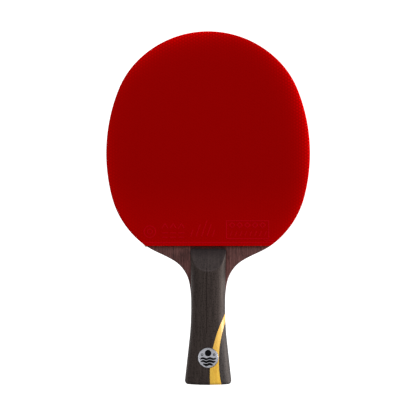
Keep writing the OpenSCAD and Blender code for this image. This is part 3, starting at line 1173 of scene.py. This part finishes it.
def badge():
    """A turned disc with a rounded rim and a fine groove, and a generic inlay in black
    enamel: a sun over three waves, with a small ring on each side."""
    foot, top = heights_of("badge_disc")
    r = np.ptp(node_box("badge_disc"), axis=0)[0] / 2
    shell = Shell()
    side, floor = r - BADGE_CHAMFER, top - GROOVE_DEPTH
    profile = [(side, foot), (r, foot + BADGE_CHAMFER), (r, top - BADGE_SHOULDER)]
    for a in np.radians(QUARTER_TURN):
        edge = side - BADGE_EDGE_R * (1 - math.cos(a))
        profile.append((edge, top - BADGE_EDGE_R * (1 - math.sin(a))))
    profile += [(r - GROOVE_FROM, top), (r - GROOVE_FROM - GROOVE_DEPTH, floor)]
    profile += [(r - GROOVE_TO + GROOVE_DEPTH, floor), (r - GROOVE_TO, top)]
    shell.stack([lift(ring(BADGE_MIDDLE, out, ROUND_SIDES), z) for out, z in profile])

    field = r - INLAY_IN
    inlay_low, inlay_high = top - INLAY_SUNK, top + INLAY_H

    def inlay(outline):
        away = np.linalg.norm(outline, axis=1)[:, None]
        outline = outline * np.minimum(1, field / away) + BADGE_MIDDLE
        centre = outline.mean(0)
        edge = centre + (outline - centre) * INLAY_TOP
        sides = [lift(outline, inlay_low), lift(outline, top + INLAY_SIDE_H)]
        shell.stack([*sides, lift(edge, inlay_high)], slot=1)

    for base, thick in WAVES:
        reach = math.sqrt(field**2 - (base + thick / 2) ** 2) - WAVE_SHORT
        x = np.linspace(-1, 1, WAVE_POINTS) * reach
        wave = base + WAVE_SWING * np.sin(x * WAVE_TURN)
        full = thick * np.sqrt(1 - (x / reach) ** 4)
        under = np.column_stack([x, wave + (thick - full) / 2])
        upper = np.column_stack([x, wave + (thick + full) / 2])
        inlay(np.vstack([under, upper[-2:0:-1]]))
    inlay(ring(SUN_AT, SUN_R, INLAY_SIDES))
    for at in SMALL_RINGS_AT:
        circle = ring(BADGE_MIDDLE + at, SMALL_RING_R, INLAY_SIDES)
        hole = ring(BADGE_MIDDLE + at, SMALL_RING_R - SMALL_RING_W, INLAY_SIDES)
        rows = [lift(circle, inlay_low), lift(circle, inlay_high)]
        rows += [lift(hole, inlay_high), lift(hole, inlay_low), rows[0]]
        shell.grid(rows, wrap=True, slot=1)
    return shell


piece("badge", badge(), [ALUMINIUM, ENAMEL], ["badge_disc"])
pad_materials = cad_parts["badge_pad"].data.materials
pad_materials.clear()
pad_materials.append(GLUE)


# ----------------------------------------- the studio and the camera

# In metres: half the floor, the width that the camera sees at the height of the top
# sheet, and the camera's place. Then how strongly the floor and the air round it glow
FLOOR_HALF = 12.0
VIEW_W = 0.3058
CAMERA_AT = (-0.0001, -0.00004, 1.6)
FLOOR_GLOW, AIR_GLOW = 1.3, 1.1
# The air's colours from the level of the floor upward
AIR = ((0.0, "ffffff"), (0.05, "ffffff"), (0.14, "606060"), (1.0, "404040"))
# How far the floor is under the handle's back, in millimetres, and its points in a row
FLOOR_DROP = 0.05
FLOOR_POINTS = 25


def studio_floor():
    """A plain white floor just under the handle's back: a light table, which leaves no
    shadow round the paddle."""
    shell = Shell()
    side = np.linspace(-FLOOR_HALF, FLOOR_HALF, FLOOR_POINTS) / MM
    shell.grid([[(x, y, -FLOOR_DROP) for x in side] for y in side])
    floor = mesh_of("floor", shell)
    material, tree, shader, place = finish(
        "Opal acrylic, sanded and lit from below",
        Roughness=0.9,
        Specular_IOR_Level=0.0,
        Emission_Color=(1, 1, 1, 1),
        Emission_Strength=FLOOR_GLOW,
    )
    colour = ramp(tree, noise(tree, place, (3, 3, 3)), (0.3, "585858"), (0.7, "5c5c5c"))
    tree.links.new(colour, shader.inputs["Base Color"])
    material.cycles.emission_sampling = "NONE"
    floor.data.materials.append(material)


def softbox(name, azimuth, elevation, width, height, share, away=2.6):
    """A softbox aimed at the paddle, with angles in degrees and sizes in metres. Share is
    the light it throws on a level surface, as a share of what makes a white card look
    white."""
    up, round_z = math.radians(elevation), math.radians(azimuth)
    level = math.cos(up)
    toward = Vector((math.sin(round_z) * level, math.cos(round_z) * level, math.sin(up)))
    light = bpy.data.lights.new(name, "AREA")
    light.shape = "RECTANGLE"
    light.size, light.size_y = width, height
    light.energy = share * math.pi**2 * away**2 / math.sin(up)
    made = bpy.data.objects.new(name, light)
    made.location = toward * away
    made.rotation_euler = toward.to_track_quat("Z", "Y").to_euler()
    made.visible_camera = False
    bpy.context.scene.collection.objects.link(made)
    return made


def studio_air():
    """White all round at the level of the floor, and a soft grey overhead."""
    world = bpy.data.worlds.new("studio")
    world.use_nodes = True
    bpy.context.scene.world = world
    tree = world.node_tree
    way = node(tree, "ShaderNodeTexCoord").outputs["Generated"]
    up = node(tree, "ShaderNodeSeparateXYZ", {0: way}).outputs["Z"]
    tree.links.new(ramp(tree, up, *AIR), tree.nodes["Background"].inputs["Color"])
    tree.nodes["Background"].inputs["Strength"].default_value = AIR_GLOW


studio_floor()
studio_air()
softbox("key_right", azimuth=84, elevation=14, width=1.3, height=1.2, share=0.4)
# The light beyond the tip lights the paddle, but isn't mirrored in it
top = softbox("key_top", azimuth=5, elevation=18, width=1.8, height=0.7, share=0.24)
top.visible_glossy = False
softbox("fill_left", azimuth=-75, elevation=60, width=1.0, height=1.2, share=0.28)

lens = bpy.data.cameras.new("camera")
camera = bpy.data.objects.new("camera", lens)
camera.location = CAMERA_AT
sheet_top = heights_of("topsheet_front")[1] * MM
lens.sensor_width = 36
lens.lens = lens.sensor_width * (CAMERA_AT[2] - sheet_top) / VIEW_W
bpy.context.scene.collection.objects.link(camera)
bpy.context.scene.camera = camera
bpy.context.scene.view_settings.view_transform = "Standard"
